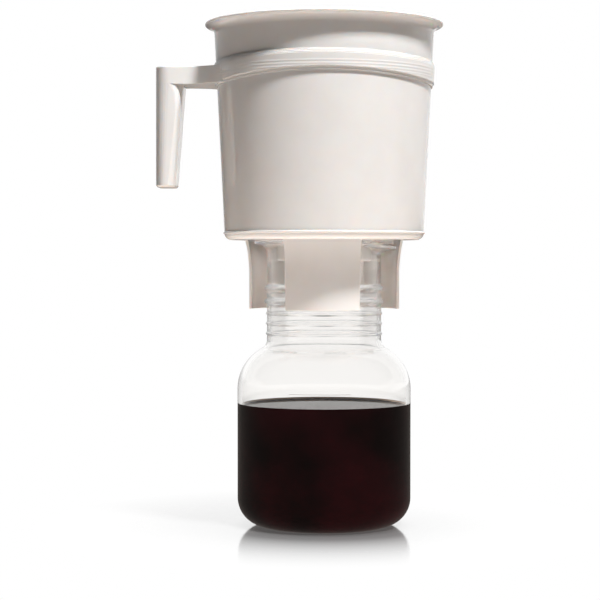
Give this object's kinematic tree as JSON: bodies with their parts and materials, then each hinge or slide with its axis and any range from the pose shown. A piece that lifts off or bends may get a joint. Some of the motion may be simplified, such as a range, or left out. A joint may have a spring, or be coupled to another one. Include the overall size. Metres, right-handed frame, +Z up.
{
  "type": "cold brew coffee maker",
  "caption": "Cold brew coffee maker: an open plastic steeping container with a hoop handle, a felt filter and a drain stopper, standing on a glass decanter.",
  "frame": {"origin": "centre of the decanter's flat foot, on the table", "axes": "+Z up along the common axis; the handle points to -X; the tab that covers the drain faces -Y"},
  "size_m": [0.2054, 0.1706, 0.36],
  "materials": {
    "clear_glass": "clear, fire-polished",
    "coffee": "still liquid, nearly black",
    "white_plastic": "glossy, off-white",
    "white_handle_plastic": "glossy, off-white",
    "wool_felt": "dense off-white felt",
    "dark_rubber": "matt"
  },
  "bodies": {
    "decanter": {"glass_decanter": "clear_glass", "cold_brew": "coffee"},
    "container": {"brewing_container": "white_plastic", "handle_band": "white_handle_plastic"},
    "filter": {"felt_filter": "wool_felt"},
    "stopper": {"drain_stopper": "dark_rubber"}
  },
  "joints": [
    {"name": "container_lift", "type": "slide", "parent": "decanter", "child": "container", "axis": [0, 0, 1], "range_m": [0, 0.08]},
    {"name": "filter_lift", "type": "slide", "parent": "container", "child": "filter", "axis": [0, 0, 1], "range_m": [0, 0.18]},
    {"name": "stopper_pull", "type": "slide", "parent": "container", "child": "stopper", "axis": [0, 0, -1], "range_m": [0, 0.03]}
  ]
}
